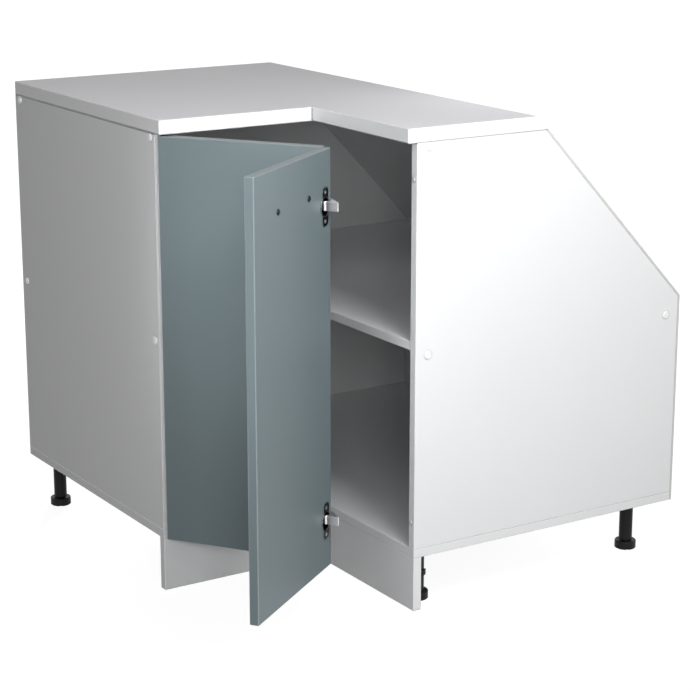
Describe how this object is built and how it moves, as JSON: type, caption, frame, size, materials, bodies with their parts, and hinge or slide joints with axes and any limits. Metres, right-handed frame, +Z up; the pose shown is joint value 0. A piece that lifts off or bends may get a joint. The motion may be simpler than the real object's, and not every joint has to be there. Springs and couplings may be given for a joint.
{
  "type": "sloped ceiling kitchen cabinet",
  "caption": "L-shaped corner base cabinet cut under a sloping ceiling, with worktop, shelf, levelling feet and a two-leaf folding corner door.",
  "frame": {"origin": "on the floor, below the middle of the box round the whole unit with its door standing open", "axes": "+Z up; +X along the rear wall towards the low wall under the slope; -Y towards the front of the right wing"},
  "size_m": [0.9688, 1.0216, 0.845],
  "materials": {
    "worktop": "laminated board, satin, white edges",
    "carcass_board": "white melamine board, satin",
    "thin_back": "white lacquered fibreboard, matt",
    "plinth_board": "white melamine board, satin",
    "door_board": "blue-grey lacquered board, satin",
    "screw_steel": "zinc plated",
    "cap_plastic": "white, moulded",
    "leg_plastic": "black, moulded",
    "hinge_steel": "nickel plated pressed steel",
    "handle_steel": "brushed",
    "bumper_rubber": "translucent soft dot"
  },
  "bodies": {
    "root": {"worktop": "worktop", "side_panel_left": "carcass_board", "side_panel_right": "carcass_board", "bottom_panel": "carcass_board", "shelf": "carcass_board", "worktop_batten_left": "carcass_board", "worktop_batten_right": "carcass_board", "worktop_batten_rear": "carcass_board", "worktop_batten_slope": "carcass_board", "shelf_batten_left": "carcass_board", "shelf_batten_right": "carcass_board", "shelf_batten_rear": "carcass_board", "shelf_batten_low": "carcass_board", "rear_back_panel": "thin_back", "low_back_panel": "thin_back", "sloped_back_panel": "thin_back", "plinth_left": "plinth_board", "plinth_right": "plinth_board", "flank_screws": "screw_steel", "worktop_screws": "screw_steel", "shelf_screws": "screw_steel", "carcass_screws": "screw_steel", "back_nails": "screw_steel", "leg_screws": "screw_steel", "plinth_screws": "screw_steel", "cabinet_plate_screws": "screw_steel", "screw_caps": "cap_plastic", "leg_sockets": "leg_plastic", "plinth_clips": "leg_plastic", "cabinet_hinge_plates": "hinge_steel", "cabinet_hinge_arms": "hinge_steel", "plinth_joint_plate": "hinge_steel", "door_bumpers": "bumper_rubber"},
    "leaf_a": {"door_leaf_a": "door_board", "cabinet_hinge_cups": "hinge_steel", "cabinet_cup_screws": "screw_steel", "fold_hinge_plates": "hinge_steel", "fold_hinge_arms": "hinge_steel", "fold_plate_screws": "screw_steel"},
    "leaf_b": {"door_leaf_b": "door_board", "fold_hinge_cups": "hinge_steel", "fold_cup_screws": "screw_steel", "handle": "handle_steel", "handle_screws": "screw_steel"},
    "outer_links": {"cabinet_hinge_outer_links": "hinge_steel"},
    "inner_links": {"cabinet_hinge_inner_links": "hinge_steel"},
    "fold_links": {"fold_hinge_links": "hinge_steel"},
    "foot_body_rear_left": {"foot_rear_left": "leg_plastic"},
    "foot_body_front_left": {"foot_front_left": "leg_plastic"},
    "foot_body_inner_corner": {"foot_inner_corner": "leg_plastic"},
    "foot_body_front_right": {"foot_front_right": "leg_plastic"},
    "foot_body_far_right": {"foot_far_right": "leg_plastic"},
    "foot_body_rear_right": {"foot_rear_right": "leg_plastic"}
  },
  "joints": [
    {"name": "door_swing", "type": "hinge", "parent": "root", "child": "leaf_a", "pos_m": [-0.40807, -0.08418, 0.459], "axis": [0, 0, -1], "range_deg": [-54.5, 95.5]},
    {"name": "leaf_fold", "type": "hinge", "parent": "leaf_a", "child": "leaf_b", "pos_m": [-0.24298, -0.32509, 0.459], "axis": [0, 0, -1], "range_deg": [0, 60]},
    {"name": "outer_link_turn", "type": "hinge", "parent": "root", "child": "outer_links", "pos_m": [-0.40807, -0.08418, 0.459], "axis": [0, 0, -1], "range_deg": [-18.19, 31.85]},
    {"name": "inner_link_turn", "type": "hinge", "parent": "root", "child": "inner_links", "pos_m": [-0.40807, -0.08418, 0.459], "axis": [0, 0, -1], "range_deg": [-36.35, 63.69]},
    {"name": "fold_link_turn", "type": "hinge", "parent": "leaf_a", "child": "fold_links", "pos_m": [-0.24298, -0.32509, 0.459], "axis": [0, 0, -1], "range_deg": [0, 30.02]},
    {"name": "foot_height_rear_left", "type": "slide", "parent": "root", "child": "foot_body_rear_left", "axis": [0, 0, -1], "range_m": [0, 0.02]},
    {"name": "foot_height_front_left", "type": "slide", "parent": "root", "child": "foot_body_front_left", "axis": [0, 0, -1], "range_m": [0, 0.02]},
    {"name": "foot_height_inner_corner", "type": "slide", "parent": "root", "child": "foot_body_inner_corner", "axis": [0, 0, -1], "range_m": [0, 0.02]},
    {"name": "foot_height_front_right", "type": "slide", "parent": "root", "child": "foot_body_front_right", "axis": [0, 0, -1], "range_m": [0, 0.02]},
    {"name": "foot_height_far_right", "type": "slide", "parent": "root", "child": "foot_body_far_right", "axis": [0, 0, -1], "range_m": [0, 0.02]},
    {"name": "foot_height_rear_right", "type": "slide", "parent": "root", "child": "foot_body_rear_right", "axis": [0, 0, -1], "range_m": [0, 0.02]}
  ],
  "couplings": [
    {"joint": "outer_link_turn", "follows": "door_swing", "ratio": 0.33333},
    {"joint": "inner_link_turn", "follows": "door_swing", "ratio": 0.66667},
    {"joint": "fold_link_turn", "follows": "leaf_fold", "ratio": 0.5}
  ]
}
